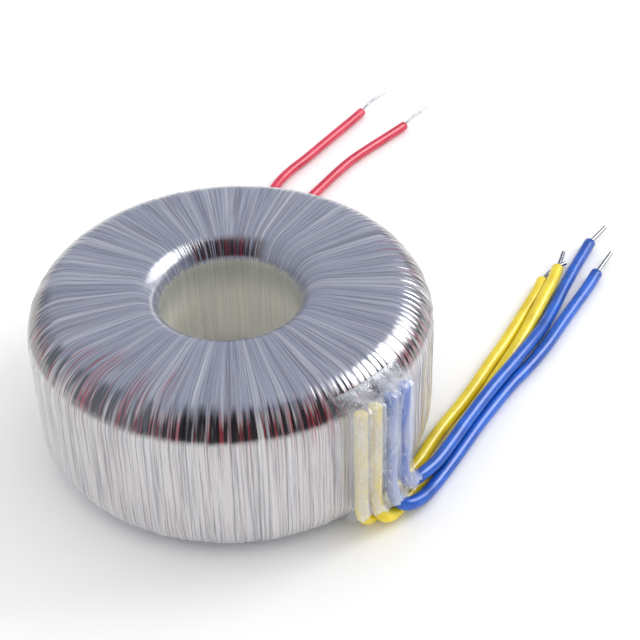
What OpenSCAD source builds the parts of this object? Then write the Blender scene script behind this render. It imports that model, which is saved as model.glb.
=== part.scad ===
// Toroidal mains transformer, laid on its flat side.
// A wound steel core carries film, the primary, film, two secondaries and the
// outer film tape. Six sleeved leads come out from under two patches of film.
// The origin is at the centre of the hole, half way up. +Z is up.

/* [Core] */
// Outside diameter of the wound steel core
core_od = 98; // [92:0.5:104]
// Inside diameter of the wound steel core
core_id = 56; // [54:0.5:62]
// Height of the core, which is the width of its strip
core_h = 34; // [28:0.5:44]
// Thickness of the steel strip
strip_t = 0.3; // [0.2:0.05:0.5]
// Arc of the strip's last turn, up to its free end
strip_arc = 300; // [180:5:350]
// Rounding of the core's edges
core_round = 0.8; // [0.4:0.1:2]

/* [Windings] */
// Film over the core, and over the primary
film_t = 0.4; // [0.2:0.05:0.8]
// Build of the primary on the outer side
primary_out = 2.8; // [1.5:0.1:4]
// Build of the primary in the hole, where the turns crowd
primary_in = 4; // [2.5:0.1:4.5]
// Build of the primary on the flat sides
primary_flat = 3.3; // [2:0.1:4.5]
// Build of one secondary on the outer side
secondary_out = 1.2; // [0.8:0.05:1.6]
// Build of one secondary in the hole
secondary_in = 1.7; // [1.2:0.05:2]
// Build of one secondary on the flat sides
secondary_flat = 1.45; // [1:0.05:2]
// Space between one layer and the next
lay_gap = 0.05; // [0.02:0.01:0.1]

/* [Outer tape] */
// Build of the outer tape on the outer side
tape_out = 1; // [0.8:0.05:1.5]
// Build of the outer tape in the hole
tape_in = 0.8; // [0.6:0.05:1]
// Build of the outer tape on the flat sides
tape_flat = 1; // [0.8:0.05:1.5]
// Radius of the outer shoulders
outer_round = 12; // [9:0.5:14]
// Radius of the inner shoulders
inner_round = 8; // [6:0.5:9]
// Turns of tape round the ring
tape_turns = 108; // [80:1:124]
// Height of the step at each lap of the tape
lap_step = 0.3; // [0.1:0.05:0.35]
// Unevenness of the laps, as a share of their spacing
lap_scatter = 0.5; // [0:0.05:0.6]

/* [Leads] */
// Outside diameter of the yellow and blue sleeves
sleeve_d = 3.8; // [3:0.1:3.8]
// Outside diameter of the red sleeves
red_sleeve_d = 3.2; // [2.6:0.1:3.2]
// Diameter of the secondary wire
wire_d = 1.3; // [0.8:0.05:1.6]
// Diameter of the primary wire
red_wire_d = 0.7; // [0.4:0.05:1]

/* [Lead tape] */
// Thickness of the film over the leads
patch_t = 0.3; // [0.2:0.05:0.5]
// Film that lies on the ring beside the outermost lead
patch_margin = 7; // [5:0.5:10]
// Height of the upper edge of the film
patch_top = 47; // [46.5:0.1:47.5]
// Height of the lower edge of the film
patch_bottom = 8.5; // [8:0.25:10.5]

/* [Hidden] */
$fn = 180;

// A layer is [hole radius, outer radius, half height].
function wound(on, inner, outer, flat) = [on[0] - inner, on[1] + outer, on[2] + flat];
core_layer = [core_id / 2, core_od / 2, core_h / 2];
core_film_layer = wound(core_layer, film_t, film_t, film_t);
primary_layer = wound(core_film_layer, primary_in, primary_out, primary_flat);
winding_film_layer = wound(primary_layer, film_t, film_t, film_t);
blue_layer = wound(winding_film_layer, secondary_in, secondary_out, secondary_flat);
yellow_layer = wound(blue_layer, secondary_in, secondary_out, secondary_flat);
ring_layer = wound(yellow_layer, tape_in, tape_out, tape_flat);

hole_r = ring_layer[0];
ring_r = ring_layer[1];
mid_z = ring_layer[2]; // height of the hole's centre over the floor

// The turns round off the core's edges more with each layer.
function share(r, from, to) = (r - from) / (to - from);
function outer_corner(layer) = core_round
    + (outer_round - core_round) * share(layer[1], core_layer[1], ring_r);
function inner_corner(layer) = core_round
    + (inner_round - core_round) * share(layer[0], core_layer[0], hole_r);

// Points of an arc, centre [x, z], from one angle to another.
function arc(x, z, r, from, to, steps) = [
    for (i = [0 : steps]) let (a = from + (to - from) * i / steps)
        [x + r * cos(a), z + r * sin(a)]
];

// Section of a layer, counter-clockwise from the lower outer corner.
function section(layer, steps_out, steps_in) =
    let (ro = outer_corner(layer), ri = inner_corner(layer),
         xo = layer[1] - ro, xi = layer[0] + ri,
         zo = layer[2] - ro, zi = layer[2] - ri)
    concat(
        arc(xo, -zo, ro, -90, 0, steps_out),
        arc(xo, zo, ro, 0, 90, steps_out),
        arc(xi, zi, ri, 90, 180, steps_in),
        arc(xi, -zi, ri, 180, 270, steps_in)
    );

corner_steps = 8;
module solid_layer(layer) {
    rotate_extrude()
        polygon(section(layer, corner_steps, corner_steps));
}

// A closed shell that leaves room for the layer inside it.
module shell_layer(layer, inside) {
    difference() {
        solid_layer(layer);
        solid_layer(wound(inside, lay_gap, lay_gap, lay_gap));
    }
}

/* Core: a tight coil of steel strip, with the free ends of its first and last turns */
module core() {
    body_in = core_layer[0] + strip_t;
    body_out = core_layer[1] - strip_t;
    color("silver")
        intersection() {
            solid_layer(core_layer);
            translate([0, 0, -core_h / 2]) {
                rotate_extrude()
                    translate([body_in, 0])
                        square([body_out - body_in, core_h]);
                rotate_extrude(angle = strip_arc)
                    translate([body_out - strip_t, 0])
                        square([2 * strip_t, core_h]);
                rotate_extrude(angle = strip_arc)
                    translate([core_layer[0], 0])
                        square([2 * strip_t, core_h]);
            }
        }
}

/* Films and windings, one closed shell inside the next */
module core_film() {
    color("white")
        shell_layer(core_film_layer, core_layer);
}

module primary_winding() {
    color("sienna")
        shell_layer(primary_layer, core_film_layer);
}

module winding_film() {
    color("white")
        shell_layer(winding_film_layer, primary_layer);
}

module blue_secondary() {
    color("peru")
        shell_layer(blue_layer, winding_film_layer);
}

module yellow_secondary() {
    color("chocolate")
        shell_layer(yellow_layer, blue_layer);
}

/* Outer tape: one long film wound through the hole, each turn lapping the last */
lap_rounds = [6, 3]; // facets on an outer and on an inner shoulder
wall_cut = 0.05;     // least depth that the hole's cylinder takes off the laps
lap_edge = 0.15;     // share of the spacing that a step takes
scatter = rands(-1, 1, tape_turns, 11);
lap_height = rands(0.45, 1, tape_turns, 5);
outline = section(ring_layer, lap_rounds[0], lap_rounds[1]);
rings = len(outline);

// Direction away from the layer's body at each point of the outline
function away(i) =
    let (per = lap_rounds[0] + 1, inner = lap_rounds[1] + 1)
    i < per ? -90 + 90 * i / lap_rounds[0]
    : i < 2 * per ? 90 * (i - per) / lap_rounds[0]
    : i < 2 * per + inner ? 90 + 90 * (i - 2 * per) / lap_rounds[1]
    : 180 + 90 * (i - 2 * per - inner) / lap_rounds[1];

// Length along the outline, up to point i
function along(i) = i == 0 ? 0 : along(i - 1) + norm(outline[i] - outline[i - 1]);
girth = along(rings - 1) + norm(outline[0] - outline[rings - 1]);
lengths = [for (i = [0 : rings - 1]) along(i) / girth];

// Column 2k is the crest of lap k, and column 2k + 1 the foot of its step.
columns = 2 * tape_turns;
lap_pitch = 360 / tape_turns;
function lap_angle(k) = lap_pitch * (k + lap_scatter / 2 * scatter[k % tape_turns]);
function column_angle(c) =
    let (k = floor(c / 2))
    lap_angle(k) + (c % 2 == 0 ? 0 : lap_edge * lap_pitch);
function column_sink(c) = c % 2 == 0 ? 0 : lap_step * lap_height[(c - 1) / 2 % tape_turns];

// A turn of tape gains one lap on its way round the section.
function tape_point(c, i) =
    let (a = column_angle(c) + (column_angle(c + 2) - column_angle(c)) * lengths[i],
         dir = away(i),
         lift = max(0, -cos(dir)) * (lap_step + wall_cut) - column_sink(c),
         r = outline[i][0] + lift * cos(dir),
         z = outline[i][1] + lift * sin(dir))
    [r * cos(a), r * sin(a), z];

module tape_skin() {
    points = [for (c = [0 : columns - 1]) for (i = [0 : rings - 1]) tape_point(c, i)];
    // The outline closes onto the next lap, two columns on.
    function at(c, i) = ((c + (i == rings ? 2 : 0)) % columns) * rings + i % rings;
    faces = [for (c = [0 : columns - 1]) for (i = [0 : rings - 1])
        each [[at(c, i), at(c, i + 1), at(c + 1, i + 1)],
              [at(c, i), at(c + 1, i + 1), at(c + 1, i)]]];
    polyhedron(points, faces);
}

module outer_tape() {
    color("lightsteelblue")
        difference() {
            tape_skin();
            cylinder(r = hole_r, h = 2 * mid_z + 2, center = true);
            solid_layer(wound(yellow_layer, lay_gap, lay_gap, lay_gap));
        }
}

/* Leads: a route's points run from under the tape to the sleeve's cut end.
   Their heights are over the floor. */
yellow_route_1 = [
    [30.6, -49.3, 43.5], [30.6, -49.3, 36], [30.6, -49.3, 28], [30.6, -49.3, 20],
    [30.6, -49.3, 14], [30.6, -49.3, 10.5], [31, -49, 7.3], [32.3, -47.5, 4.4],
    [34.1, -44.7, 2.6], [36.5, -41, 2], [40.4, -36.4, 2], [44, -32, 2],
    [47, -28, 2], [49.8, -24.5, 2], [53.2, -19, 2], [58.5, -11.2, 2],
    [64.8, -3, 2], [70.5, 5.2, 2], [76, 13.7, 2], [82, 22.6, 2],
    [87.6, 31.5, 2], [93.4, 41, 2], [97, 46.7, 2], [100, 52.6, 2]
];
yellow_route_2 = [
    [34.5, -46.7, 43.5], [34.5, -46.7, 36], [34.5, -46.7, 28], [34.5, -46.7, 20],
    [34.5, -46.7, 14], [34.6, -46.9, 10.6], [35.3, -47.4, 7.4], [36.9, -47.3, 4.7],
    [39.1, -45.4, 2.8], [41.6, -42.3, 2], [44.6, -38, 2], [48.4, -33.3, 2],
    [51.8, -28.6, 2], [54.6, -24.8, 2], [57.1, -21.4, 2], [62.2, -13.8, 2],
    [68.2, -5.5, 2], [73.9, 2.8, 2], [79.5, 11.5, 2], [85.3, 20.3, 2.2],
    [91, 29.5, 2.8], [96.5, 39, 3.6], [99.4, 44, 3.9], [102.2, 49, 4], [105.5, 56, 4]
];
blue_route_1 = [
    [39, -43, 43.5], [39, -43, 36], [39, -43, 28], [39, -43, 20],
    [39, -43.1, 15], [39.3, -43.5, 11.6], [40.3, -44.3, 8.3], [42.4, -44.5, 5.7],
    [45.3, -43, 4.2], [48.8, -39.6, 3], [52.3, -34.8, 2], [57.7, -27.5, 2],
    [63.1, -19.8, 2], [68.5, -12, 2], [74.5, -4, 2], [81, 4.2, 2],
    [88.1, 12.2, 2], [94.9, 20.8, 2], [101.2, 30, 2], [107.5, 39, 2],
    [113.5, 47.5, 2], [118, 54.5, 2]
];
blue_route_2 = [
    [42.7, -39.4, 43.5], [42.7, -39.4, 36], [42.7, -39.4, 28], [42.7, -39.4, 21],
    [42.7, -39.4, 16], [42.9, -39.5, 12.6], [43.9, -39.2, 9.5], [46, -37.4, 7.2],
    [49.2, -34, 6], [53.5, -29.5, 5.6], [58.3, -22.9, 5.5], [63.7, -15, 5.5],
    [69.7, -6.6, 5.5], [75.7, 1.5, 5.3], [82, 9.7, 4.8], [88.4, 18.4, 4.1],
    [94.5, 27.5, 2.8], [100.2, 37.5, 2], [103.5, 43.6, 2], [106.7, 49.5, 2],
    [112.5, 59.5, 2], [119.5, 71, 2]
];
red_route_1 = [
    [-2.5, 57.7, 43.5], [-2.5, 57.7, 36], [-2.5, 57.7, 28], [-2.5, 57.7, 20],
    [-2.5, 57.7, 14], [-2.5, 57.8, 10], [-2.4, 59, 6.3], [-2, 61.7, 3.2],
    [-1.2, 65.6, 1.7], [0.5, 71, 1.7], [3.5, 79, 1.7], [7, 88, 1.7], [11, 98, 1.7],
    [15, 108.5, 1.7], [19.5, 118.5, 1.7], [24.5, 126, 1.7], [30.5, 133, 1.7],
    [36.5, 140.5, 1.7], [42.5, 148, 1.7], [49, 156, 1.7], [54, 162.5, 1.7]
];
red_route_2 = [
    [2, 57.7, 43.5], [2, 57.7, 36], [2, 57.7, 28], [2, 57.7, 20], [2, 57.7, 14],
    [2, 57.8, 10], [2.2, 59, 6.3], [2.7, 61.7, 3.2], [3.9, 65.5, 1.7],
    [6.5, 71.5, 1.7], [11, 80, 1.7], [16.5, 89, 1.7], [22.5, 98, 1.7],
    [29, 107, 1.7], [35.2, 115.4, 1.7], [40.5, 122.6, 1.7], [46.5, 130, 1.7],
    [53.5, 137, 1.7], [60.5, 143.5, 1.7], [68.5, 151, 1.7]
];

/* The bare wires go on from the sleeves' cut ends */
yellow_wire_route_1 = [[100.2, 52.9, 2], [102.6, 56.6, 1.4], [106, 60, 1.1], [109.5, 62, 1.1]];
yellow_wire_route_2 = [[105.5, 56, 4], [107.3, 60, 4], [109, 64, 4]];
blue_wire_route_1 = [[118, 54.5, 2], [121.5, 59.5, 2], [125, 64.5, 2]];
blue_wire_route_2 = [[119.7, 71.2, 2], [123, 75, 2], [126.5, 79, 2]];
red_wire_route_1 = [[54, 162.5, 1.7], [56.5, 167, 1.7], [60, 171.5, 1.7], [64, 175, 1.7]];
red_wire_route_2 = [[68.5, 151, 1.7], [71, 155, 1.7], [74.5, 159, 1.7], [78.5, 162.5, 1.7]];

function unit(v) = v / norm(v);
function heading(p, i) = unit(p[min(i + 1, len(p) - 1)] - p[max(i - 1, 0)]);
function off_heading(v, t) = unit(v - t * (v * t));

// A side direction at each point, carried along so that the tube doesn't twist
function sides(p, i = 0, last = [1, 0, 0]) =
    let (here = off_heading(last, heading(p, i)))
    i == len(p) - 1 ? [here] : concat([here], sides(p, i + 1, here));

tube_sides = 8;
module tube(route, d) {
    side = sides(route);
    points = [for (i = [0 : len(route) - 1]) let (t = heading(route, i))
        for (k = [0 : tube_sides - 1]) let (a = 360 * k / tube_sides)
            route[i] + d / 2 * (cos(a) * side[i] + sin(a) * cross(t, side[i]))];
    function at(i, k) = i * tube_sides + k % tube_sides;
    walls = [for (i = [0 : len(route) - 2]) for (k = [0 : tube_sides - 1])
        each [[at(i, k), at(i + 1, k), at(i + 1, k + 1)],
              [at(i, k), at(i + 1, k + 1), at(i, k + 1)]]];
    last = len(route) - 1;
    first_cap = [for (k = [0 : tube_sides - 1]) at(0, k)];
    last_cap = [for (k = [tube_sides - 1 : -1 : 0]) at(last, k)];
    translate([0, 0, -mid_z])
        polyhedron(points, concat(walls, [first_cap], [last_cap]));
}

module yellow_sleeve_1() { color("gold") tube(yellow_route_1, sleeve_d); }
module yellow_sleeve_2() { color("gold") tube(yellow_route_2, sleeve_d); }
module blue_sleeve_1() { color("dodgerblue") tube(blue_route_1, sleeve_d); }
module blue_sleeve_2() { color("dodgerblue") tube(blue_route_2, sleeve_d); }
module red_sleeve_1() { color("crimson") tube(red_route_1, red_sleeve_d); }
module red_sleeve_2() { color("crimson") tube(red_route_2, red_sleeve_d); }
module yellow_wire_1() { color("silver") tube(yellow_wire_route_1, wire_d); }
module yellow_wire_2() { color("silver") tube(yellow_wire_route_2, wire_d); }
module blue_wire_1() { color("silver") tube(blue_wire_route_1, wire_d); }
module blue_wire_2() { color("silver") tube(blue_wire_route_2, wire_d); }
module red_wire_1() { color("silver") tube(red_wire_route_1, red_wire_d); }
module red_wire_2() { color("silver") tube(red_wire_route_2, red_wire_d); }

/* Lead tape: film that lies on the ring and stands over the leads like a tent */
tape_seat = 0.12;    // space between this film and the ring
lead_clear = 0.25;   // space between this film and a sleeve
foot_ease = 0.1;     // how fast that space grows where the sleeves lean
lean_start = 14;     // height below which they lean
tent_sag = 0.05;     // how fast the film falls between two leads
tent_fall = 1.1;     // slope of the film beside the outermost lead
drape_fall = 3.2;    // slope of the film over the leads' upper ends
drape_start = 44;    // height where it begins, just over those ends
edge_rough = 1.2;    // unevenness of the lower edge
patch_pitch = 1.8;   // width of one column of the film's mesh
// Rows of the film's mesh: along the straight side, then over the shoulder
side_rows = [0, 0.5, 1];
shoulder_rows = [0.28, 0.49, 0.66, 0.79, 0.9, 1];

// Radius of the ring's outer side at a height
function ring_side(z) =
    let (over = abs(z - mid_z) - (mid_z - outer_round))
    over <= 0 ? ring_r : ring_r - outer_round + sqrt(outer_round * outer_round - over * over);

// Where a lead crosses a height, while it is still under the film
function lead_at(route, z) = [
    lookup(z, [for (p = route) if (p.z > 6.5) [p.z, p.x]]),
    lookup(z, [for (p = route) if (p.z > 6.5) [p.z, p.y]])
];
function lead_angle(route, z) = let (p = lead_at(route, z)) atan2(p.y, p.x);

// Radius of the film's inner face over one lead, at an angle and a height
function over_lead(a, z, route, d) =
    let (r = norm(lead_at(route, z)),
         off = abs(a - lead_angle(route, z)) * PI / 180 * r,
         ease = foot_ease * max(0, lean_start - z),
         drop = tent_sag * off * off + tent_fall * max(0, off - d / 2 - 2 * ease),
         drape = drape_fall * max(0, z - drape_start))
    r + d / 2 + lead_clear + ease - drop - drape;
function tent(a, z, routes, d) =
    max(ring_side(z) + tape_seat, max([for (route = routes) over_lead(a, z, route, d)]));

module lead_tape(routes, d, roughness) {
    angles = [for (route = routes) lead_angle(route, patch_top)];
    margin = patch_margin * 180 / PI / ring_r;
    from = min(angles) - margin;
    span = max(angles) + margin - from;
    cols = ceil(span * PI / 180 * ring_r / patch_pitch);
    foot = outer_round;
    shoulder = 2 * mid_z - outer_round;
    heights = concat(
        [for (share = side_rows) foot + (shoulder - foot) * share],
        [for (share = shoulder_rows) shoulder + (patch_top - shoulder) * share]);
    rows = len(heights) + 2;
    function low(i) = patch_bottom + edge_rough * roughness[i % len(roughness)];
    function height(i, j) = j == 0 ? low(i) : j == 1 ? (low(i) + foot) / 2 : heights[j - 2];
    function skin_point(i, j, t) =
        let (a = from + span * i / cols, z = height(i, j),
             r = tent(a, z, routes, d) + t)
        [r * cos(a), r * sin(a), z];
    points = [for (t = [0, patch_t]) for (i = [0 : cols]) for (j = [0 : rows - 1])
        skin_point(i, j, t)];
    function at(side, i, j) = (side * (cols + 1) + i) * rows + j;
    function quad(a, b, c, d) = [[a, b, c], [a, c, d]];
    inner = [for (i = [0 : cols - 1]) for (j = [0 : rows - 2])
        each quad(at(0, i, j), at(0, i + 1, j), at(0, i + 1, j + 1), at(0, i, j + 1))];
    outer = [for (i = [0 : cols - 1]) for (j = [0 : rows - 2])
        each quad(at(1, i, j), at(1, i, j + 1), at(1, i + 1, j + 1), at(1, i + 1, j))];
    ends = [for (j = [0 : rows - 2]) each concat(
        quad(at(0, 0, j), at(0, 0, j + 1), at(1, 0, j + 1), at(1, 0, j)),
        quad(at(0, cols, j), at(1, cols, j), at(1, cols, j + 1), at(0, cols, j + 1)))];
    brims = [for (i = [0 : cols - 1]) each concat(
        quad(at(0, i, 0), at(1, i, 0), at(1, i + 1, 0), at(0, i + 1, 0)),
        quad(at(0, i, rows - 1), at(0, i + 1, rows - 1), at(1, i + 1, rows - 1), at(1, i, rows - 1)))];
    translate([0, 0, -mid_z])
        polyhedron(points, concat(inner, outer, ends, brims));
}

// Unevenness of each lower edge, column by column
secondary_edge = [0.6, 0.1, -0.4, -0.8, -0.3, 0.2, -0.5, -0.9, -0.6,
    0, -0.4, -0.8, -0.5, 0.1, -0.2, 0.3, 0.8, 1];
primary_edge = [0.5, -0.2, -0.7, -0.3, 0.4, -0.6, -0.9, -0.1, -0.5, 0.2, 0.7, 0.4];
secondary_routes = [yellow_route_1, yellow_route_2, blue_route_1, blue_route_2];
primary_routes = [red_route_1, red_route_2];

module secondary_lead_tape() {
    color("lavender")
        lead_tape(secondary_routes, sleeve_d, secondary_edge);
}

module primary_lead_tape() {
    color("lavender")
        lead_tape(primary_routes, red_sleeve_d, primary_edge);
}

core();
core_film();
primary_winding();
winding_film();
blue_secondary();
yellow_secondary();
outer_tape();
secondary_lead_tape();
primary_lead_tape();
yellow_sleeve_1();
yellow_sleeve_2();
blue_sleeve_1();
blue_sleeve_2();
red_sleeve_1();
red_sleeve_2();
yellow_wire_1();
yellow_wire_2();
blue_wire_1();
blue_wire_2();
red_wire_1();
red_wire_2();
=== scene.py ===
import math

import bmesh
import bpy
from mathutils import Matrix, Vector


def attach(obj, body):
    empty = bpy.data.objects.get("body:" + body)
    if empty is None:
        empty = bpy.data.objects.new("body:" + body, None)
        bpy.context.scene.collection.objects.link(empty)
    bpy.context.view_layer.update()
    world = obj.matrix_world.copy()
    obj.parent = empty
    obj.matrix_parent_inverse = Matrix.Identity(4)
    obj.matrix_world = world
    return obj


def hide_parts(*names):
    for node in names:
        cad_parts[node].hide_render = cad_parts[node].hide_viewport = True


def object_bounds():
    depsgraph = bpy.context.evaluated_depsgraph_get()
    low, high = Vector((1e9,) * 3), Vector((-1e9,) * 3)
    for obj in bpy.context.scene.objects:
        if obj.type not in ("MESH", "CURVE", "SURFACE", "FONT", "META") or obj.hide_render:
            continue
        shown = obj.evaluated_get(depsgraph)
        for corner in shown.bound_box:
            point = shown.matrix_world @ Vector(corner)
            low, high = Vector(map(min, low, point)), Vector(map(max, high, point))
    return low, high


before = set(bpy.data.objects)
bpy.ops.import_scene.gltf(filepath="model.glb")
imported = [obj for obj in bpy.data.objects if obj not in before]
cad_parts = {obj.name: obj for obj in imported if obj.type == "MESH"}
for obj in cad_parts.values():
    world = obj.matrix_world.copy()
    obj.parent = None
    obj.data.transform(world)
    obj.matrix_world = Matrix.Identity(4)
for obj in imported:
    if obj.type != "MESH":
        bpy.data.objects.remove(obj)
cadLow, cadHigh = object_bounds()
scene = bpy.context.scene
scene.view_settings.view_transform = "Standard"
floorHeight = cadLow.z
print("frame loaded")


def addNode(tree, kind, inputs=None, out=0, **settings):
    # Adds a node and returns one of its outputs; inputs are values or other outputs.
    node = tree.nodes.new(kind)
    for name, value in settings.items():
        setattr(node, name, value)
    for key, value in (inputs or {}).items():
        if isinstance(value, bpy.types.NodeSocket):
            tree.links.new(value, node.inputs[key])
        else:
            node.inputs[key].default_value = value
    return node.outputs[out] if len(node.outputs) else node


def colour(hexValue, alpha=1.0):
    # sRGB hex to the linear values that sockets take
    parts = [int(hexValue[i:i + 2], 16) / 255 for i in (0, 2, 4)]
    linear = [c / 12.92 if c <= 0.04045 else ((c + 0.055) / 1.055) ** 2.4 for c in parts]
    return (*linear, alpha)


def setRamp(output, stops):
    ramp = output.node.color_ramp
    while len(ramp.elements) < len(stops):
        ramp.elements.new(0.5)
    for element, (place, value) in zip(ramp.elements, stops):
        element.position = place
        element.color = value
    return output


def newMaterial(name):
    material = bpy.data.materials.new(name)
    material.use_nodes = True
    material.node_tree.nodes.clear()
    return material, material.node_tree


def finishMaterial(tree, inputs):
    shader = addNode(tree, "ShaderNodeBsdfPrincipled", inputs)
    addNode(tree, "ShaderNodeOutputMaterial", {"Surface": shader})


def wearMaterial(piece, material):
    piece.data.materials.clear()
    piece.data.materials.append(material)


# Camera: it stands in front, looks down on the ring and a little to the right
cameraSet = {"place": (0, -0.3403, 0.2847), "heading": 4.1248, "tilt": -38.8466,
             "roll": -1.5704, "lens": 88.62}


def makeCamera():
    heading, tilt, roll = (math.radians(cameraSet[k]) for k in ("heading", "tilt", "roll"))
    forward = Vector((math.cos(tilt) * math.sin(heading),
                      math.cos(tilt) * math.cos(heading), math.sin(tilt)))
    level = Vector((math.cos(heading), -math.sin(heading), 0))
    upright = level.cross(forward)
    right = level * math.cos(roll) + upright * math.sin(roll)
    up = upright * math.cos(roll) - level * math.sin(roll)
    data = bpy.data.cameras.new("camera")
    data.lens, data.sensor_width = cameraSet["lens"], 36
    data.clip_start, data.clip_end = 0.01, 20
    camera = bpy.data.objects.new("camera", data)
    scene.collection.objects.link(camera)
    place = Matrix((right, up, -forward)).transposed().to_4x4()
    place.translation = Vector(cameraSet["place"])
    camera.matrix_world = place
    scene.camera = camera


makeCamera()
print("camera made")


# Soft PVC sleeving: smooth and a little waxy, with a broad sheen and faint handling marks
def pvcMaterial(name, light, dark):
    material, tree = newMaterial(name)
    place = addNode(tree, "ShaderNodeTexCoord", out="Object")
    blotch = addNode(tree, "ShaderNodeTexNoise", {"Vector": place, "Scale": 110.0, "Detail": 3.0})
    tint = setRamp(addNode(tree, "ShaderNodeValToRGB", {"Fac": blotch}),
                   [(0.35, colour(dark)), (0.65, colour(light))])
    fine = addNode(tree, "ShaderNodeTexNoise", {"Vector": place, "Scale": 900.0, "Detail": 2.0})
    shine = addNode(tree, "ShaderNodeMapRange", {"Value": fine, "To Min": 0.24, "To Max": 0.36})
    bump = addNode(tree, "ShaderNodeBump", {"Height": blotch, "Strength": 0.12,
                                            "Distance": 0.0004})
    finishMaterial(tree, {"Base Color": tint, "Roughness": shine, "Normal": bump, "IOR": 1.53})
    return material


# Tinned copper wire: bright, slightly uneven tin
def tinnedWireMaterial():
    material, tree = newMaterial("tinnedCopper")
    place = addNode(tree, "ShaderNodeTexCoord", out="Object")
    cloud = addNode(tree, "ShaderNodeTexNoise", {"Vector": place, "Scale": 1200.0, "Detail": 3.0})
    tint = setRamp(addNode(tree, "ShaderNodeValToRGB", {"Fac": cloud}),
                   [(0.3, colour("77787c")), (0.7, colour("b4b5ba"))])
    shine = addNode(tree, "ShaderNodeMapRange", {"Value": cloud, "To Min": 0.16, "To Max": 0.34})
    finishMaterial(tree, {"Base Color": tint, "Roughness": shine, "Metallic": 1.0})
    return material


yellowPvc = pvcMaterial("yellowPvc", "f2dc30", "dcc01c")
bluePvc = pvcMaterial("bluePvc", "1060cc", "084aa6")
redPvc = pvcMaterial("redPvc", "de3a56", "c0243e")
tinnedCopper = tinnedWireMaterial()

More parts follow.
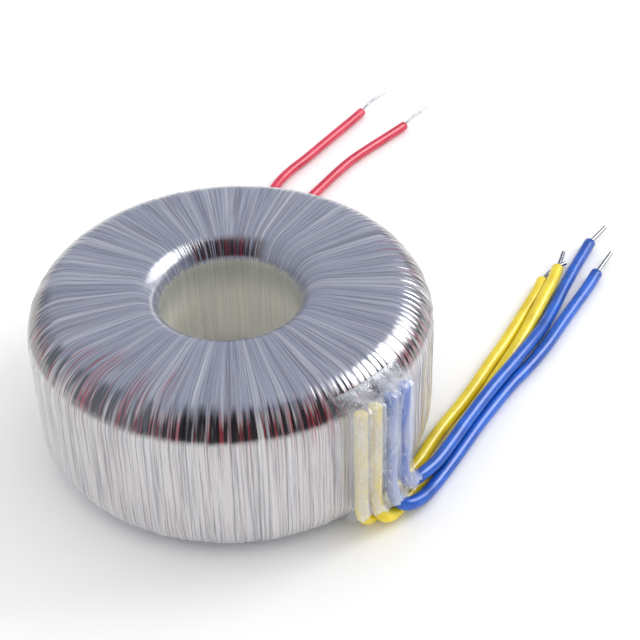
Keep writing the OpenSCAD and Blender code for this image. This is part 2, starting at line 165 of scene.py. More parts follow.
# Leads: points in millimetres, heights over the floor, from under the film to the cut end
leadSet = {
    "sleeve": 3.8, "redSleeve": 3.2, "wire": 1.3, "redWire": 0.7, "steps": 6,
    "exitHeight": 14.5, "wireInside": 2.0, "lipShare": 0.9,
    "routes": {
        "yellow_1": [
            (30.6, -49.3, 43.5), (30.6, -49.3, 36), (30.6, -49.3, 28), (30.6, -49.3, 20),
            (30.6, -49.3, 14), (30.6, -49.3, 10.5), (31, -49, 7.3), (32.3, -47.5, 4.4),
            (34.1, -44.7, 2.6), (36.5, -41, 2), (40.4, -36.4, 2), (44, -32, 2),
            (47, -28, 2), (49.8, -24.5, 2), (53.2, -19, 2), (58.5, -11.2, 2),
            (64.8, -3, 2), (70.5, 5.2, 2), (76, 13.7, 2), (82, 22.6, 2),
            (87.6, 31.5, 2), (93.4, 41, 2), (97, 46.7, 2), (100, 52.6, 2)],
        "yellow_2": [
            (34.5, -46.7, 43.5), (34.5, -46.7, 36), (34.5, -46.7, 28), (34.5, -46.7, 20),
            (34.5, -46.7, 14), (34.6, -46.9, 10.6), (35.3, -47.4, 7.4), (36.9, -47.3, 4.7),
            (39.1, -45.4, 2.8), (41.6, -42.3, 2), (44.6, -38, 2), (48.4, -33.3, 2),
            (51.8, -28.6, 2), (54.6, -24.8, 2), (57.1, -21.4, 2), (62.2, -13.8, 2),
            (68.2, -5.5, 2), (73.9, 2.8, 2), (79.5, 11.5, 2), (85.3, 20.3, 2.2),
            (91, 29.5, 2.8), (96.5, 39, 3.6), (99.4, 44, 3.9), (102.2, 49, 4), (105.5, 56, 4)],
        "blue_1": [
            (39, -43, 43.5), (39, -43, 36), (39, -43, 28), (39, -43, 20),
            (39, -43.1, 15), (39.3, -43.5, 11.6), (40.3, -44.3, 8.3), (42.4, -44.5, 5.7),
            (45.3, -43, 4.2), (48.8, -39.6, 3), (52.3, -34.8, 2), (57.7, -27.5, 2),
            (63.1, -19.8, 2), (68.5, -12, 2), (74.5, -4, 2), (81, 4.2, 2),
            (88.1, 12.2, 2), (94.9, 20.8, 2), (101.2, 30, 2), (107.5, 39, 2),
            (113.5, 47.5, 2), (118, 54.5, 2)],
        "blue_2": [
            (42.7, -39.4, 43.5), (42.7, -39.4, 36), (42.7, -39.4, 28), (42.7, -39.4, 21),
            (42.7, -39.4, 16), (42.9, -39.5, 12.6), (43.9, -39.2, 9.5), (46, -37.4, 7.2),
            (49.2, -34, 6), (53.5, -29.5, 5.6), (58.3, -22.9, 5.5), (63.7, -15, 5.5),
            (69.7, -6.6, 5.5), (75.7, 1.5, 5.3), (82, 9.7, 4.8), (88.4, 18.4, 4.1),
            (94.5, 27.5, 2.8), (100.2, 37.5, 2), (103.5, 43.6, 2), (106.7, 49.5, 2),
            (112.5, 59.5, 2), (119.5, 71, 2)],
        "red_1": [
            (-2.5, 57.7, 39), (-2.5, 57.7, 34), (-2.5, 57.7, 28), (-2.5, 57.7, 20),
            (-2.5, 57.7, 14), (-2.5, 57.8, 10), (-2.4, 59, 6.3), (-2, 61.7, 3.2),
            (-1.2, 65.6, 1.7), (0.5, 71, 1.7), (3.5, 79, 1.7), (7, 88, 1.7), (11, 98, 1.7),
            (15, 108.5, 1.7), (19.5, 118.5, 1.7), (24.5, 126, 1.7), (30.5, 133, 1.7),
            (36.5, 140.5, 1.7), (42.5, 148, 1.7), (49, 156, 1.7), (54, 162.5, 1.7)],
        "red_2": [
            (2, 57.7, 39), (2, 57.7, 34), (2, 57.7, 28), (2, 57.7, 20), (2, 57.7, 14),
            (2, 57.8, 10), (2.2, 59, 6.3), (2.7, 61.7, 3.2), (3.9, 65.5, 1.7),
            (6.5, 71.5, 1.7), (11, 80, 1.7), (16.5, 89, 1.7), (22.5, 98, 1.7),
            (29, 107, 1.7), (35.2, 115.4, 1.7), (40.5, 122.6, 1.7), (46.5, 130, 1.7),
            (53.5, 137, 1.7), (60.5, 143.5, 1.7), (68.5, 151, 1.7)],
    },
    "wires": {
        "yellow_1": [(100.2, 52.9, 2), (102.6, 56.6, 1.4), (106, 60, 1.1), (109.5, 62, 1.1)],
        "yellow_2": [(105.5, 56, 4), (107.3, 60, 4), (109, 64, 4)],
        "blue_1": [(118, 54.5, 2), (121.5, 59.5, 2), (125, 64.5, 2)],
        "blue_2": [(119.7, 71.2, 2), (123, 75, 2), (126.5, 79, 2)],
        "red_1": [(54, 162.5, 1.7), (56.5, 167, 1.7), (60, 171.5, 1.7), (64, 175, 1.7)],
        "red_2": [(68.5, 151, 1.7), (71, 155, 1.7), (74.5, 159, 1.7), (78.5, 162.5, 1.7)],
    },
}


def smoothLine(points, steps):
    # A curve through every point, as metres in the part's frame
    line = [Vector((x, y, z)) / 1000 + Vector((0, 0, floorHeight)) for x, y, z in points]
    padded = [line[0] * 2 - line[1], *line, line[-1] * 2 - line[-2]]
    smooth = []
    for a, b, c, d in zip(padded, padded[1:], padded[2:], padded[3:]):
        for k in range(steps):
            t = k / steps
            smooth.append(0.5 * (2 * b + (c - a) * t + (2 * a - 5 * b + 4 * c - d) * t * t
                                 + (3 * b - a - 3 * c + d) * t ** 3))
    return smooth + [line[-1]]


def makeTube(name, line, thickness, material, sides=10, lipShare=1.0):
    # Full thickness until just before each end
    lip = thickness * 0.06
    line = [line[0], line[0] + (line[1] - line[0]).normalized() * lip, *line[1:-1],
            line[-1] + (line[-2] - line[-1]).normalized() * lip, line[-1]]
    data = bpy.data.curves.new(name, "CURVE")
    data.dimensions = "3D"
    data.bevel_depth = thickness / 2
    data.bevel_resolution = sides // 2
    data.use_fill_caps = True
    data.twist_mode = "MINIMUM"
    spline = data.splines.new("POLY")
    spline.points.add(len(line) - 1)
    for point, place in zip(spline.points, line):
        point.co = (*place, 1)
    for end in (0, -1):
        spline.points[end].radius = lipShare
    spline.use_smooth = True
    piece = bpy.data.objects.new(name, data)
    scene.collection.objects.link(piece)
    wearMaterial(piece, material)
    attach(piece, "root")
    return piece


def lineLength(line):
    return sum((b - a).length for a, b in zip(line, line[1:]))


def makeLeads():
    finishes = {"yellow": yellowPvc, "blue": bluePvc, "red": redPvc}
    for key, points in leadSet["routes"].items():
        tone, number = key.split("_")
        thick = leadSet["redSleeve" if tone == "red" else "sleeve"] / 1000
        thin = leadSet["redWire" if tone == "red" else "wire"] / 1000
        line = smoothLine(points, leadSet["steps"])
        for place in line:
            place.z = max(place.z, floorHeight + thick / 2)
        sleeve = makeTube(f"{tone}Sleeve{number}", line, thick, finishes[tone],
                          lipShare=leadSet["lipShare"])
        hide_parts(f"{tone}_sleeve_{number}")
        wireLine = smoothLine(leadSet["wires"][key], leadSet["steps"])
        inside = line[-1] + (line[-3] - line[-1]).normalized() * leadSet["wireInside"] / 1000
        wire = makeTube(f"{tone}Wire{number}", [inside, *wireLine], thin, tinnedCopper)
        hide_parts(f"{tone}_wire_{number}")
        # The lead leaves the film just under its lower edge.
        print(f"{sleeve.name}: {lineLength(line) * 1000:.1f} mm")


makeLeads()
print("leads made")


# Film tape: one turn laps the last, all the way round the ring
tapeSet = {"holeRadius": 19.0, "ringRadius": 56.0, "height": 50.0, "innerRound": 8.0,
           "outerRound": 12.0, "turns": 156, "columnsPerTurn": 6, "rows": 96,
           "lapStep": 0.15, "unevenSpacing": 0.5, "lapEdge": 0.08, "ripple": 0.5, "seed": 4}


def tapeTree():
    tree = bpy.data.node_groups.new("lappedTape", "GeometryNodeTree")
    face = tree.interface
    face.new_socket("Geometry", in_out="OUTPUT", socket_type="NodeSocketGeometry")
    whole = ("turns", "columnsPerTurn", "rows", "seed")
    for name, value in tapeSet.items():
        kind = "NodeSocketInt" if name in whole else "NodeSocketFloat"
        face.new_socket(name, in_out="INPUT", socket_type=kind).default_value = value
    face.new_socket("material", in_out="INPUT", socket_type="NodeSocketMaterial")
    given = tree.nodes.new("NodeGroupInput").outputs

    def calc(first, how, second=0.0, third=0.0):
        return addNode(tree, "ShaderNodeMath", {0: first, 1: second, 2: third}, operation=how)

    # Section of the ring: a rectangle with two sizes of rounded corner
    wide = calc(given["ringRadius"], "SUBTRACT", given["holeRadius"])
    middle = calc(calc(given["ringRadius"], "ADD", given["holeRadius"]), "MULTIPLY", 0.5)
    frameCurve = addNode(tree, "GeometryNodeCurvePrimitiveQuadrilateral",
                         {"Width": wide, "Height": given["height"]})
    corner = addNode(tree, "GeometryNodeInputPosition")
    cornerX = addNode(tree, "ShaderNodeSeparateXYZ", {0: corner})
    outer = calc(cornerX, "GREATER_THAN", 0.0)
    rounding = calc(calc(given["outerRound"], "SUBTRACT", given["innerRound"]), "MULTIPLY", outer)
    rounding = calc(rounding, "ADD", given["innerRound"])
    section = addNode(tree, "GeometryNodeFilletCurve",
                      {"Curve": frameCurve, "Radius": rounding, "Count": 24}, mode="POLY")

    # A sheet of columns and rows, numbered from its own place
    columns = calc(given["turns"], "MULTIPLY", given["columnsPerTurn"])
    sheet = addNode(tree, "GeometryNodeMeshGrid",
                    {"Size X": 1.0, "Size Y": 1.0,
                     "Vertices X": calc(columns, "ADD", 1.0),
                     "Vertices Y": calc(given["rows"], "ADD", 1.0)})
    flat = addNode(tree, "GeometryNodeInputPosition")
    flatX = addNode(tree, "ShaderNodeSeparateXYZ", {0: flat})
    flatY = flatX.node.outputs[1]
    column = calc(calc(calc(flatX, "ADD", 0.5), "MULTIPLY", columns), "ROUND")
    along = calc(flatY, "ADD", 0.5)
    turn = calc(calc(calc(column, "DIVIDE", given["columnsPerTurn"]), "ADD", 0.001), "FLOOR")
    within = calc(column, "SUBTRACT", calc(turn, "MULTIPLY", given["columnsPerTurn"]))
    started = calc(within, "GREATER_THAN", 0.5)
    spread = calc(calc(within, "SUBTRACT", 1.0), "DIVIDE",
                  calc(given["columnsPerTurn"], "SUBTRACT", 1.0))
    share = calc(calc(given["lapEdge"], "MULTIPLY_ADD", calc(1.0, "SUBTRACT", spread), spread),
                 "MULTIPLY", started)

    def chance(number, low, high, salt):
        wrapped = calc(number, "FLOORED_MODULO", given["turns"])
        salted = calc(given["seed"], "ADD", float(salt))
        return addNode(tree, "FunctionNodeRandomValue",
                       {2: low, 3: high, "ID": wrapped, "Seed": salted}, out=1,
                       data_type="FLOAT")

    # A turn ends where the next one starts, so its own values blend into the next one's
    nextTurn = calc(turn, "ADD", 1.0)

    def carried(number, low, high, salt):
        after = calc(number, "ADD", 1.0)
        return addNode(tree, "ShaderNodeMix",
                       {"Factor": along, 2: chance(number, low, high, salt),
                        3: chance(after, low, high, salt)}, data_type="FLOAT")

    # Uneven spacing moves the edge of each turn
    edgeHere = calc(carried(turn, -0.5, 0.5, 1), "MULTIPLY_ADD", given["unevenSpacing"], turn)
    edgeNext = calc(carried(nextTurn, -0.5, 0.5, 1), "MULTIPLY_ADD", given["unevenSpacing"],
                    nextTurn)
    around = calc(calc(edgeNext, "SUBTRACT", edgeHere), "MULTIPLY_ADD", share, edgeHere)
    around = calc(calc(around, "ADD", along), "DIVIDE", given["turns"])
    angle = calc(around, "MULTIPLY", 2 * math.pi)

    # Place and outward direction on the section
    place = addNode(tree, "GeometryNodeSampleCurve", {"Curves": section, "Factor": along},
                    out=1, mode="FACTOR", use_all_curves=True)
    tangent = place.node.outputs[2]
    placeX = addNode(tree, "ShaderNodeSeparateXYZ", {0: place})
    tangentX = addNode(tree, "ShaderNodeSeparateXYZ", {0: tangent})
    placeY, tangentY = placeX.node.outputs[1], tangentX.node.outputs[1]

    # The film falls from each edge to the next, and ripples a little lengthwise
    height = carried(turn, 0.15, 1.0, 2)
    fall = calc(calc(share, "MULTIPLY", started), "ADD", calc(1.0, "SUBTRACT", started))
    local = calc(calc(placeX, "ADD", middle), "DIVIDE", given["ringRadius"])
    step = calc(calc(given["lapStep"], "MULTIPLY", height), "MULTIPLY",
                calc(local, "POWER", 1.6))
    waveAt = addNode(tree, "ShaderNodeCombineXYZ",
                     {0: calc(calc(turn, "ADD", along), "FLOORED_MODULO", given["turns"]),
                      1: calc(calc(along, "MULTIPLY", 2 * math.pi), "SINE"),
                      2: calc(calc(along, "MULTIPLY", 2 * math.pi), "COSINE")})
    wave = addNode(tree, "ShaderNodeTexNoise", {"Vector": waveAt, "Scale": 2.3, "Detail": 1.0})
    sink = calc(calc(step, "MULTIPLY", fall), "ADD",
                calc(calc(given["ripple"], "MULTIPLY", wave), "MULTIPLY",
                     calc(local, "POWER", 2.0)))
    radius = calc(calc(placeX, "ADD", middle), "SUBTRACT",
                  calc(sink, "MULTIPLY", tangentY))
    level = calc(placeY, "ADD", calc(sink, "MULTIPLY", tangentX))
    metres = [calc(value, "MULTIPLY", 0.001) for value in
              (calc(radius, "MULTIPLY", calc(angle, "COSINE")),
               calc(radius, "MULTIPLY", calc(angle, "SINE")), level)]
    spot = addNode(tree, "ShaderNodeCombineXYZ", {0: metres[0], 1: metres[1], 2: metres[2]})

    stored = addNode(tree, "GeometryNodeStoreNamedAttribute",
                     {"Geometry": sheet, "Name": "tapeRun",
                      "Value": addNode(tree, "ShaderNodeCombineXYZ", {0: around, 1: along})},
                     data_type="FLOAT2", domain="CORNER")
    # turnShade: one random value per turn; the tape's material paints some turns paler with it, as
    # painted reflection, and sets how dark each turn's edge is
    for name, value in (("turnShade", carried(turn, 0.0, 1.0, 3)), ("lapShare", share),
                        ("along", along)):
        stored = addNode(tree, "GeometryNodeStoreNamedAttribute",
                         {"Geometry": stored, "Name": name, "Value": value},
                         data_type="FLOAT", domain="CORNER")
    laid = addNode(tree, "GeometryNodeSetPosition", {"Geometry": stored, "Position": spot})
    closed = addNode(tree, "GeometryNodeMergeByDistance", {"Geometry": laid, "Distance": 2e-6})
    smooth = addNode(tree, "GeometryNodeSetShadeSmooth", {"Geometry": closed})
    real = addNode(tree, "GeometryNodeRealizeInstances", {"Geometry": smooth})
    dressed = addNode(tree, "GeometryNodeSetMaterial",
                      {"Geometry": real, "Material": given["material"]})
    addNode(tree, "NodeGroupOutput", {0: dressed})
    return tree


def bakeNodes(name, tree, values):
    # Runs a tree on an empty mesh and keeps the result as a plain mesh
    holder = bpy.data.objects.new(name + "Holder", bpy.data.meshes.new(name + "Holder"))
    scene.collection.objects.link(holder)
    modifier = holder.modifiers.new("nodes", "NODES")
    modifier.node_group = tree
    sockets = {item.name: item.identifier for item in tree.interface.items_tree
               if item.in_out == "INPUT"}
    for key, value in values.items():
        modifier[sockets[key]] = value
    evaluated = holder.evaluated_get(bpy.context.evaluated_depsgraph_get())
    mesh = bpy.data.meshes.new_from_object(evaluated)
    mesh.name = name
    bpy.data.objects.remove(holder)
    piece = bpy.data.objects.new(name, mesh)
    scene.collection.objects.link(piece)
    return piece


# Polyester film tape in many layers: glassy glare over dark lacquered wire, milky where the layers
# crowd, fine streaks along the tape, and turns' edges as thin dark lines; with painted light: the
# hole's cream painted brighter, the far side of the hole's rim painted dark, and some turns
# painted paler
tapeLook = {"top": "888ea2", "side": "c4bfc1", "hole": "f8f6ea", "wallTop": "8c8f88",
            "between": "4c4d5e",
            "lacquer": "0d0610", "wireLine": "8c142a", "edge": "2b2833", "pale": "d8d8de"}


def tapeMaterial():
    material, tree = newMaterial("polyesterTape")

    def calc(first, how, second=0.0, third=0.0):
        return addNode(tree, "ShaderNodeMath", {0: first, 1: second, 2: third}, operation=how)

    def rise(value, low, high, top=1.0):
        return addNode(tree, "ShaderNodeMapRange",
                       {"Value": value, "From Min": low, "From Max": high, "To Max": top},
                       interpolation_type="SMOOTHSTEP")

    def blend(factor, first, second):
        return addNode(tree, "ShaderNodeMix", {"Factor": factor, 6: first, 7: second}, out=2,
                       data_type="RGBA")

    run = addNode(tree, "ShaderNodeAttribute", out="Vector", attribute_name="tapeRun")
    shade = addNode(tree, "ShaderNodeAttribute", out="Fac", attribute_name="turnShade")
    share = addNode(tree, "ShaderNodeAttribute", out="Fac", attribute_name="lapShare")
    place = addNode(tree, "ShaderNodeTexCoord", out="Object")
    placeX = addNode(tree, "ShaderNodeSeparateXYZ", {0: place})
    placeY, placeZ = placeX.node.outputs[1], placeX.node.outputs[2]
    radius = addNode(tree, "ShaderNodeVectorMath",
                     {0: addNode(tree, "ShaderNodeCombineXYZ", {0: placeX, 1: placeY})},
                     out="Value", operation="LENGTH")

    # Streaks: very fine across the tape, long along it, and closed around the section
    runX = addNode(tree, "ShaderNodeSeparateXYZ", {0: run})
    lap = calc(runX.node.outputs[1], "MULTIPLY", 2 * math.pi)

    def streaks(across, along, detail):
        reach = along / (2 * math.pi)
        at = addNode(tree, "ShaderNodeCombineXYZ",
                     {0: calc(runX, "MULTIPLY", across),
                      1: calc(calc(lap, "SINE"), "MULTIPLY", reach),
                      2: calc(calc(lap, "COSINE"), "MULTIPLY", reach)})
        return addNode(tree, "ShaderNodeTexNoise", {"Vector": at, "Scale": 1.0,
                                                    "Detail": detail, "Roughness": 0.65})

    fine, broad, wires = streaks(640, 5, 4.0), streaks(150, 3, 2.0), streaks(330, 2.5, 1.0)
    patch = addNode(tree, "ShaderNodeTexNoise", {"Vector": place, "Scale": 42.0, "Detail": 2.0})

    # Film tone: cream in the hole, painted brighter than the film as painted light coming through
    # it, and darker grey-green towards the top of the wall as painted shade; blue-grey on the
    # flats, beige on the side
    level = calc(placeZ, "ABSOLUTE")
    ragged = calc(calc(broad, "MULTIPLY_ADD", 0.004, -0.002), "ADD", level)
    outside = calc(rise(radius, 0.024, 0.028), "MAXIMUM", rise(ragged, 0.0186, 0.0192))
    wall = blend(rise(ragged, 0.005, 0.0182, 0.8), colour(tapeLook["hole"]),
                 colour(tapeLook["wallTop"]))
    tone = blend(outside, wall, colour(tapeLook["top"]))
    tone = blend(rise(radius, 0.0495, 0.0535), tone, colour(tapeLook["side"]))
    tone = blend(calc(rise(fine, 0.58, 0.36, 0.75), "MULTIPLY", calc(outside, "MULTIPLY_ADD",
                 0.7, 0.3)), tone, colour(tapeLook["between"]))
    tone = blend(calc(rise(broad, 0.5, 0.74, 0.34), "MULTIPLY", outside), tone,
                 colour(tapeLook["pale"]))
    # Some turns painted paler: painted reflection, standing in for turns that lie at slightly
    # different angles and catch the glare differently
    tone = blend(rise(shade, 0.55, 1.0, 0.28), tone, colour(tapeLook["pale"]))

    # Wires show on the outer shoulder, and in a few sectors of the top and side
    wireTint = blend(calc(rise(wires, 0.53, 0.57), "MULTIPLY", rise(wires, 0.65, 0.60)),
                     colour(tapeLook["lacquer"]), colour(tapeLook["wireLine"]))
    shoulder = calc(rise(placeZ, 0.0158, 0.0178), "MULTIPLY", rise(calc(wires, "MULTIPLY_ADD",
                 0.012, placeZ), 0.0312, 0.0268))
    shoulder = calc(shoulder, "MULTIPLY", rise(radius, 0.047, 0.050))
    shoulder = calc(shoulder, "MULTIPLY", rise(broad, 0.34, 0.46, 0.95))
    sectors = 0.0
    for heading, start in ((-128, 0.034), (22, 0.042), (-88, 0.046)):
        toward = (math.cos(math.radians(heading)), math.sin(math.radians(heading)))
        facing = calc(calc(calc(placeX, "MULTIPLY", toward[0]), "ADD",
                           calc(placeY, "MULTIPLY", toward[1])), "DIVIDE", radius)
        sector = calc(rise(facing, 0.78, 0.95), "MULTIPLY",
                      calc(rise(radius, start, start + 0.01), "MULTIPLY",
                           rise(placeZ, 0.008, 0.02)))
        sectors = calc(sectors, "MAXIMUM", sector)
    # The far side of the hole's rim shows them too: the wires are real, but painting them dark on
    # the far side only is a painted reflection of the dark camera side
    rim = calc(rise(placeZ, 0.0190, 0.0202), "MULTIPLY", rise(placeZ, 0.0246, 0.0232))
    rim = calc(rim, "MULTIPLY", rise(radius, 0.0262, 0.0235))
    rim = calc(rim, "MULTIPLY", rise(calc(placeY, "DIVIDE", radius), 0.82, 0.93))
    rim = calc(rim, "MULTIPLY", rise(broad, 0.40, 0.48, 0.9))
    lines = calc(rise(wires, 0.52, 0.57), "MULTIPLY", rise(wires, 0.66, 0.60))
    faint = calc(calc(lines, "MULTIPLY", rise(patch, 0.42, 0.58)), "MULTIPLY",
                 calc(sectors, "MULTIPLY_ADD", 0.8, 0.10))
    faint = calc(faint, "MULTIPLY", outside)
    tint = blend(calc(calc(shoulder, "MAXIMUM", rim), "MAXIMUM", faint), tone, wireTint)

    # Some turns' edges are dark, the others hardly show
    edge = calc(rise(share, 0.16, 0.0), "MULTIPLY", rise(shade, 0.35, 0.9, 0.8))
    tint = blend(calc(edge, "MULTIPLY", calc(outside, "MULTIPLY_ADD", 0.75, 0.25)), tint,
                 colour(tapeLook["edge"]))
    shine = addNode(tree, "ShaderNodeMapRange", {"Value": fine, "To Min": 0.10, "To Max": 0.27})
    ridges = calc(calc(fine, "MULTIPLY", 0.5), "ADD", broad)
    bump = addNode(tree, "ShaderNodeBump", {"Height": ridges, "Strength": 0.3,
                                            "Distance": 0.0003})
    gloss = calc(outside, "MULTIPLY_ADD", 0.5, 0.35)
    finishMaterial(tree, {"Base Color": tint, "Roughness": shine, "Normal": bump,
                          "Coat Weight": calc(gloss, "MULTIPLY", 0.6), "Coat Roughness": 0.12,
                          "IOR": 2.4})
    return material


polyesterTape = tapeMaterial()
tape = bakeNodes("filmTape", tapeTree(), {**tapeSet, "material": polyesterTape})
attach(tape, "root")
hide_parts("outer_tape")
print("tape made", len(tape.data.polygons))


# Clear film over the leads: thin, whitish where it is creased, the sleeves seen through it
leadFilmSet = {"thickness": 0.25, "margin": 7.0, "frontTop": 47.0, "backTop": 41.5,
               "bottom": 8.5, "rough": 1.2,
               "clear": 0.3, "seat": 0.12, "fall": 1.1, "sag": 0.05, "drape": 3.2,
               "drapeStart": 44.0, "easeShare": 0.1, "easeStart": 14,
               "lowest": 6.5, "fadeReach": 3.0, "columns": 84, "rows": 80, "wrinkle": 0.16}


def filmMaterial():
    material, tree = newMaterial("clearPolyesterFilm")

    def spread(value, low, high, bottom, top):
        return addNode(tree, "ShaderNodeMapRange", {"Value": value, "From Min": low,
                                                    "From Max": high, "To Min": bottom,
                                                    "To Max": top})

    place = addNode(tree, "ShaderNodeTexCoord", out="Object")
    pulled = addNode(tree, "ShaderNodeMapping", {"Vector": place, "Scale": (1, 1, 0.22)})
    cloud = addNode(tree, "ShaderNodeTexNoise", {"Vector": pulled, "Scale": 240.0,
                                                 "Detail": 4.0, "Distortion": 0.5})
    slanted = addNode(tree, "ShaderNodeMapping", {"Vector": place, "Rotation": (0.5, 0.3, 0.2),
                                                  "Scale": (1, 1, 0.3)})
    scratch = addNode(tree, "ShaderNodeTexNoise", {"Vector": slanted, "Scale": 420.0,
                                                   "Detail": 3.0, "Distortion": 1.6})
    thread = addNode(tree, "ShaderNodeMath", {0: scratch, 1: 0.5}, operation="SUBTRACT")
    thread = addNode(tree, "ShaderNodeMath", {0: thread}, operation="ABSOLUTE")
    veil = spread(cloud, 0.3, 0.72, 0.08, 0.42)
    cover = addNode(tree, "ShaderNodeMath", {0: veil, 1: spread(thread, 0.0, 0.022, 0.62, 0.0)},
                    operation="MAXIMUM")
    near = addNode(tree, "ShaderNodeAttribute", out="Fac", attribute_name="overLead")
    cover = addNode(tree, "ShaderNodeMath", {0: cover, 1: spread(near, 0, 1, 0.22, 1.0)},
                    operation="MULTIPLY")
    bump = addNode(tree, "ShaderNodeBump", {"Height": cloud, "Strength": 0.5,
                                            "Distance": 0.0006})
    finishMaterial(tree, {"Base Color": colour("e4e9f4"), "Alpha": cover,
                          "Roughness": spread(cloud, 0, 1, 0.06, 0.2), "Normal": bump,
                          "IOR": 1.65})
    return material


def leadAt(line, height):
    for a, b in zip(line, line[1:]):
        if b.z <= height <= a.z:
            t = (a.z - height) / max(a.z - b.z, 1e-9)
            return a.lerp(b, t)
    return line[0] if height > line[0].z else line[-1]


def ringSide(height):
    # Radius of the ring's outer side at a height over the floor
    middle, rounding = tapeSet["height"] / 2, tapeSet["outerRound"]
    over = abs(height - middle) - (middle - rounding)
    if over <= 0:
        return tapeSet["ringRadius"]
    return tapeSet["ringRadius"] - rounding + math.sqrt(max(0.0, rounding ** 2 - over * over))


def wrinkleAt(a, b, seed):
    return (math.sin(a * 1.9 + b * 0.35 + seed) + math.sin(a * 0.7 - b * 0.9 + seed * 2.1)
            + 0.6 * math.sin(a * 3.7 + b * 1.7 + seed * 0.7)) / 2.6


def makeLeadFilm(name, node, keys, thick, seed, top):
    s, ring = leadFilmSet, tapeSet["ringRadius"]
    lines = [[Vector(p) for p in leadSet["routes"][key] if p[2] > s["lowest"]] for key in keys]
    angles = [math.atan2(line[0].y, line[0].x) for line in lines]
    low, high = min(angles) - s["margin"] / ring, max(angles) + s["margin"] / ring
    points, faces, covered = [], [], []
    for side in (0.0, s["thickness"]):
        for i in range(s["columns"] + 1):
            angle = low + (high - low) * i / s["columns"]
            arc = angle * ring
            ragged = 0.7 * wrinkleAt(arc, 0, seed) + 0.3 * wrinkleAt(arc * 3, 2, seed)
            foot = s["bottom"] + s["rough"] * ragged
            for j in range(s["rows"] + 1):
                height = foot + (top - foot) * j / s["rows"]
                ease = s["easeShare"] * max(0.0, s["easeStart"] - height)
                reach = ringSide(height) + s["seat"]
                nearest = s["margin"]
                for line in lines:
                    at = leadAt(line, height)
                    span = math.hypot(at.x, at.y)
                    off = abs(angle - math.atan2(at.y, at.x)) * span
                    nearest = min(nearest, off - thick / 2)
                    drop = (s["sag"] * off * off + s["fall"] * max(0, off - thick / 2 - 2 * ease)
                            + s["drape"] * max(0, height - s["drapeStart"]))
                    reach = max(reach, span + thick / 2 + s["clear"] + ease - drop)
                covered.append(1 - min(1.0, max(0.0, nearest / s["fadeReach"])))
                lifted = reach + side + s["wrinkle"] * (wrinkleAt(arc, height * 0.5, seed) + 1) / 2
                points.append(Vector((lifted * math.cos(angle), lifted * math.sin(angle),
                                      height)) / 1000 + Vector((0, 0, floorHeight)))
    per, layer = s["rows"] + 1, (s["columns"] + 1) * (s["rows"] + 1)
    for i in range(s["columns"]):
        for j in range(s["rows"]):
            a, b = i * per + j, (i + 1) * per + j
            faces.append((a, a + 1, b + 1, b))
            faces.append((layer + a, layer + b, layer + b + 1, layer + a + 1))
    rim = ([(i, 0) for i in range(s["columns"])] + [(s["columns"], j) for j in range(s["rows"])]
           + [(i, s["rows"]) for i in range(s["columns"], 0, -1)]
           + [(0, j) for j in range(s["rows"], 0, -1)])
    for (i, j), (m, n) in zip(rim, rim[1:] + rim[:1]):
        a, b = i * per + j, m * per + n
        faces.append((a, b, layer + b, layer + a))
    mesh = bpy.data.meshes.new(name)
    mesh.from_pydata(points, [], faces)
    mesh.attributes.new("overLead", "FLOAT", "POINT").data.foreach_set("value", covered)
    mesh.shade_smooth()
    piece = bpy.data.objects.new(name, mesh)
    scene.collection.objects.link(piece)
    wearMaterial(piece, clearFilm)
    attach(piece, "root")
    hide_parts(node)


clearFilm = filmMaterial()
makeLeadFilm("frontLeadFilm", "secondary_lead_tape", ["yellow_1", "yellow_2", "blue_1", "blue_2"],
             leadSet["sleeve"], 1.3, leadFilmSet["frontTop"])
makeLeadFilm("backLeadFilm", "primary_lead_tape", ["red_1", "red_2"], leadSet["redSleeve"], 4.1,
             leadFilmSet["backTop"])
print("lead films made")


# Inner pieces, under the tape
def plainLook(name, light, dark, size, metallic, low, high, stretch=(1, 1, 1)):
    material, tree = newMaterial(name)
    place = addNode(tree, "ShaderNodeTexCoord", out="Object")
    scaled = addNode(tree, "ShaderNodeMapping", {"Vector": place, "Scale": stretch})
    grain = addNode(tree, "ShaderNodeTexNoise", {"Vector": scaled, "Scale": size, "Detail": 3.0})
    tint = setRamp(addNode(tree, "ShaderNodeValToRGB", {"Fac": grain}),
                   [(0.35, colour(dark)), (0.65, colour(light))])
    shine = addNode(tree, "ShaderNodeMapRange", {"Value": grain, "To Min": low, "To Max": high})
    finishMaterial(tree, {"Base Color": tint, "Roughness": shine, "Metallic": metallic})
    return material


# Annealed silicon steel strip: blue-grey, its turns as rings; milky film; lacquered copper
annealedSteel = plainLook("annealedSteel", "8c9096", "565c66", 300.0, 1.0, 0.35, 0.55, (1, 1, 0.1))
milkyFilm = plainLook("milkyPolyesterFilm", "e0e0d8", "c4c6c2", 150.0, 0.0, 0.2, 0.35)
lacqueredCopper = plainLook("lacqueredCopper", "a03428", "5c1a16", 700.0, 0.6, 0.25, 0.4)
innerLooks = {"core": annealedSteel, "core_film": milkyFilm, "winding_film": milkyFilm,
              "primary_winding": lacqueredCopper, "blue_secondary": lacqueredCopper,
              "yellow_secondary": lacqueredCopper}
for nodeName, look in innerLooks.items():
    wearMaterial(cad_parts[nodeName], look)
print("inner pieces dressed")


# Studio: pale floor, white surroundings, one soft light, and a tent that only gloss sees,
# dark on the camera's side, grey elsewhere and bright where the light is
studioSet = {"worldStrength": 0.95, "lampPower": 1.6, "lampSize": 0.3, "lampDistance": 0.8,
             "lampAzimuth": 16, "lampElevation": 38, "darkAzimuth": -64, "darkElevation": 8,
             "glare": 7.0}


def direction(azimuth, elevation):
    a, e = math.radians(azimuth), math.radians(elevation)
    return Vector((math.cos(a) * math.cos(e), math.sin(a) * math.cos(e), math.sin(e)))


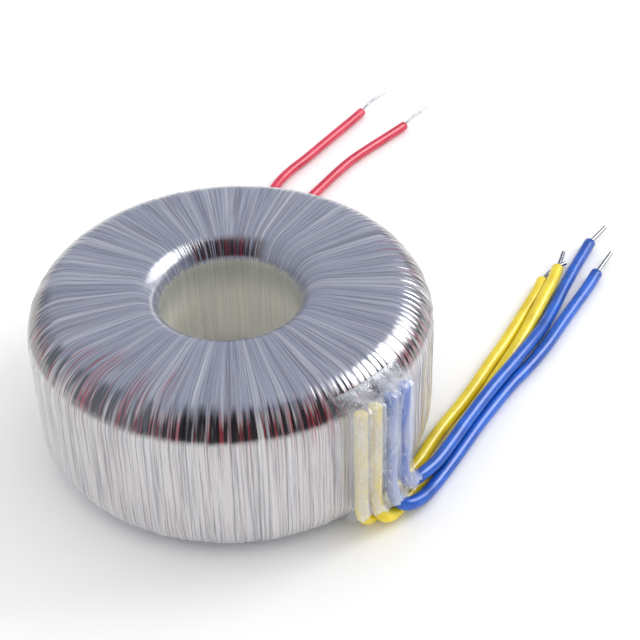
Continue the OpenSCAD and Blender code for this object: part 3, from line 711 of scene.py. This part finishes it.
def makeTent():
    mesh = bpy.data.meshes.new("tent")
    shape = bmesh.new()
    bmesh.ops.create_uvsphere(shape, u_segments=48, v_segments=24, radius=3.0)
    shape.to_mesh(mesh)
    shape.free()
    tent = bpy.data.objects.new("tent", mesh)
    scene.collection.objects.link(tent)
    for ray in ("camera", "diffuse", "shadow", "transmission", "volume_scatter"):
        setattr(tent, "visible_" + ray, False)
    material, tree = newMaterial("tentCloth")
    way = addNode(tree, "ShaderNodeVectorMath",
                  {0: addNode(tree, "ShaderNodeTexCoord", out="Object")}, operation="NORMALIZE")

    def facing(azimuth, elevation, low, high):
        share = addNode(tree, "ShaderNodeVectorMath",
                        {0: way, 1: direction(azimuth, elevation)}, out="Value",
                        operation="DOT_PRODUCT")
        return addNode(tree, "ShaderNodeMapRange",
                       {"Value": share, "From Min": low, "From Max": high},
                       interpolation_type="SMOOTHSTEP")

    s = studioSet
    dark = facing(s["darkAzimuth"], s["darkElevation"], 0.30, 0.46)
    glare = facing(s["lampAzimuth"], s["lampElevation"], 0.915, 0.955)
    cloth = addNode(tree, "ShaderNodeMix", {"Factor": dark, 6: colour("b0b5c4"),
                                            7: colour("0a0a0e")}, out=2, data_type="RGBA")
    lit = addNode(tree, "ShaderNodeMix", {"Factor": glare, 6: cloth,
                                          7: (s["glare"],) * 3 + (1,)}, out=2,
                  data_type="RGBA")
    glow = addNode(tree, "ShaderNodeEmission", {"Color": lit})
    addNode(tree, "ShaderNodeOutputMaterial", {"Surface": glow})
    wearMaterial(tent, material)


def makeStudio():
    world = bpy.data.worlds.new("studio")
    scene.world = world
    world.use_nodes = True
    tree = world.node_tree
    tree.nodes.clear()
    rays = tree.nodes.new("ShaderNodeLightPath").outputs
    shown = addNode(tree, "ShaderNodeMath", {0: rays["Is Camera Ray"], 1: rays["Is Glossy Ray"]},
                    operation="MAXIMUM")
    shown = addNode(tree, "ShaderNodeMath", {0: shown, 1: rays["Is Transmission Ray"]},
                    operation="MAXIMUM")
    power = addNode(tree, "ShaderNodeMix", {"Factor": shown, 2: studioSet["worldStrength"],
                                            3: 1.0}, data_type="FLOAT")
    sky = addNode(tree, "ShaderNodeBackground", {"Color": (1, 1, 1, 1), "Strength": power})
    addNode(tree, "ShaderNodeOutputWorld", {"Surface": sky})

    lampData = bpy.data.lights.new("softLight", "AREA")
    lampData.energy, lampData.size = studioSet["lampPower"], studioSet["lampSize"]
    lamp = bpy.data.objects.new("softLight", lampData)
    way = direction(studioSet["lampAzimuth"], studioSet["lampElevation"])
    lamp.location = way * studioSet["lampDistance"]
    lamp.rotation_mode = "QUATERNION"
    lamp.rotation_quaternion = way.to_track_quat("Z", "Y")
    scene.collection.objects.link(lamp)

    makeTent()

    mesh = bpy.data.meshes.new("floor")
    mesh.from_pydata([(-4, -4, 0), (4, -4, 0), (4, 4, 0), (-4, 4, 0)], [], [(0, 1, 2, 3)])
    floor = bpy.data.objects.new("floor", mesh)
    floor.location.z = floorHeight - 0.0002
    scene.collection.objects.link(floor)
    material, floorTree = newMaterial("paleBackdrop")
    place = addNode(floorTree, "ShaderNodeTexCoord", out="Object")
    mottle = addNode(floorTree, "ShaderNodeTexNoise", {"Vector": place, "Scale": 6.0})
    tint = setRamp(addNode(floorTree, "ShaderNodeValToRGB", {"Fac": mottle}),
                   [(0.4, colour("fbfbfb")), (0.6, colour("ffffff"))])
    finishMaterial(floorTree, {"Base Color": tint, "Roughness": 0.9})
    wearMaterial(floor, material)


makeStudio()
print("studio made")
